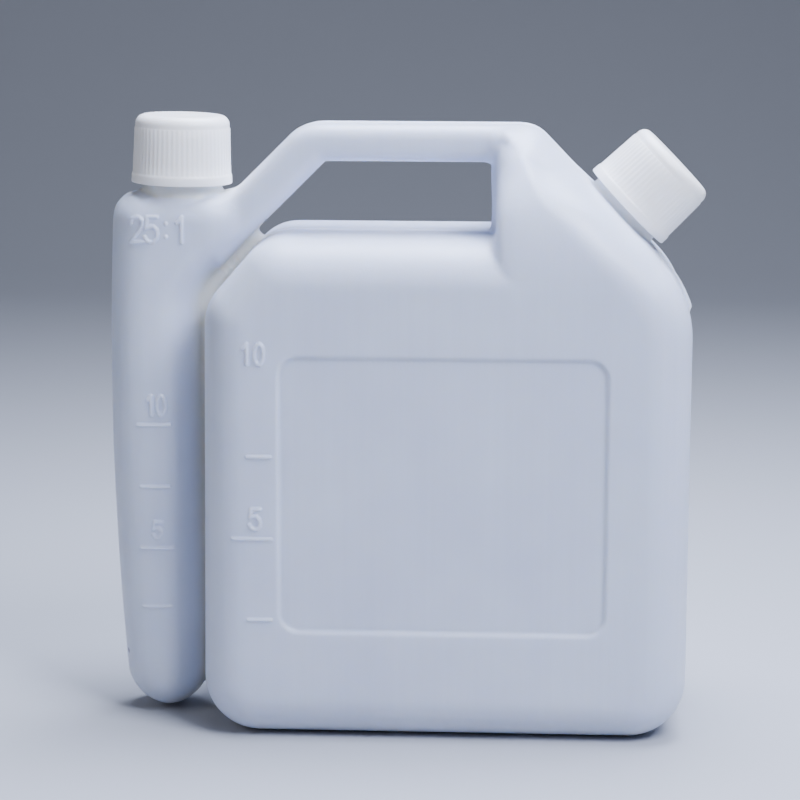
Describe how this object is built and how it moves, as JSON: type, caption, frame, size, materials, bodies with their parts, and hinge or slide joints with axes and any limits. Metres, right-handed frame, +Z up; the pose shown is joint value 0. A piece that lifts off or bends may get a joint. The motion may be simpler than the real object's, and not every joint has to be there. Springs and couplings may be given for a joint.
{
  "type": "fuel mixing bottle",
  "caption": "Blow moulded plastic fuel mixing bottle with a tank, a measuring tube alongside, a hollow grip over both and a screw cap on each neck.",
  "frame": {"origin": "centre of the bounding box on the ground under the tank", "axes": "+Z up, +X toward the slanted filler neck, -Y the face with the scale marks"},
  "size_m": [0.1802, 0.0744, 0.1847],
  "materials": {
    "natural_polyethylene": "milky, slightly see-through, soft sheen",
    "white_cap": "opaque white, fine ribs, soft sheen",
    "foam_liner": "white closed cell foam, dull"
  },
  "bodies": {
    "bottle": {"bottle_body": "natural_polyethylene", "filler_neck": "natural_polyethylene", "oil_neck": "natural_polyethylene"},
    "filler_liner": {"filler_cap_liner": "foam_liner"},
    "filler_cap": {"filler_cap": "white_cap"},
    "oil_liner": {"oil_cap_liner": "foam_liner"},
    "oil_cap": {"oil_cap": "white_cap"}
  },
  "joints": [
    {"name": "filler_cap_lift", "type": "slide", "parent": "bottle", "child": "filler_liner", "axis": [0.7193, 0, 0.6947], "range_m": [0, 0.02521]},
    {"name": "filler_cap_turn", "type": "hinge", "parent": "filler_liner", "child": "filler_cap", "pos_m": [0.065, 0, 0.15575], "axis": [0.7193, 0, 0.6947], "range_deg": [0, 2160]},
    {"name": "oil_cap_lift", "type": "slide", "parent": "bottle", "child": "oil_liner", "axis": [0.0227, 0, 0.9997], "range_m": [0, 0.02521]},
    {"name": "oil_cap_turn", "type": "hinge", "parent": "oil_liner", "child": "oil_cap", "pos_m": [-0.0679, 0, 0.1613], "axis": [0.0227, 0, 0.9997], "range_deg": [0, 2160]}
  ],
  "couplings": [
    {"joint": "filler_cap_lift", "follows": "filler_cap_turn", "m_per_rad": 0.00066845},
    {"joint": "oil_cap_lift", "follows": "oil_cap_turn", "m_per_rad": 0.00066845}
  ]
}
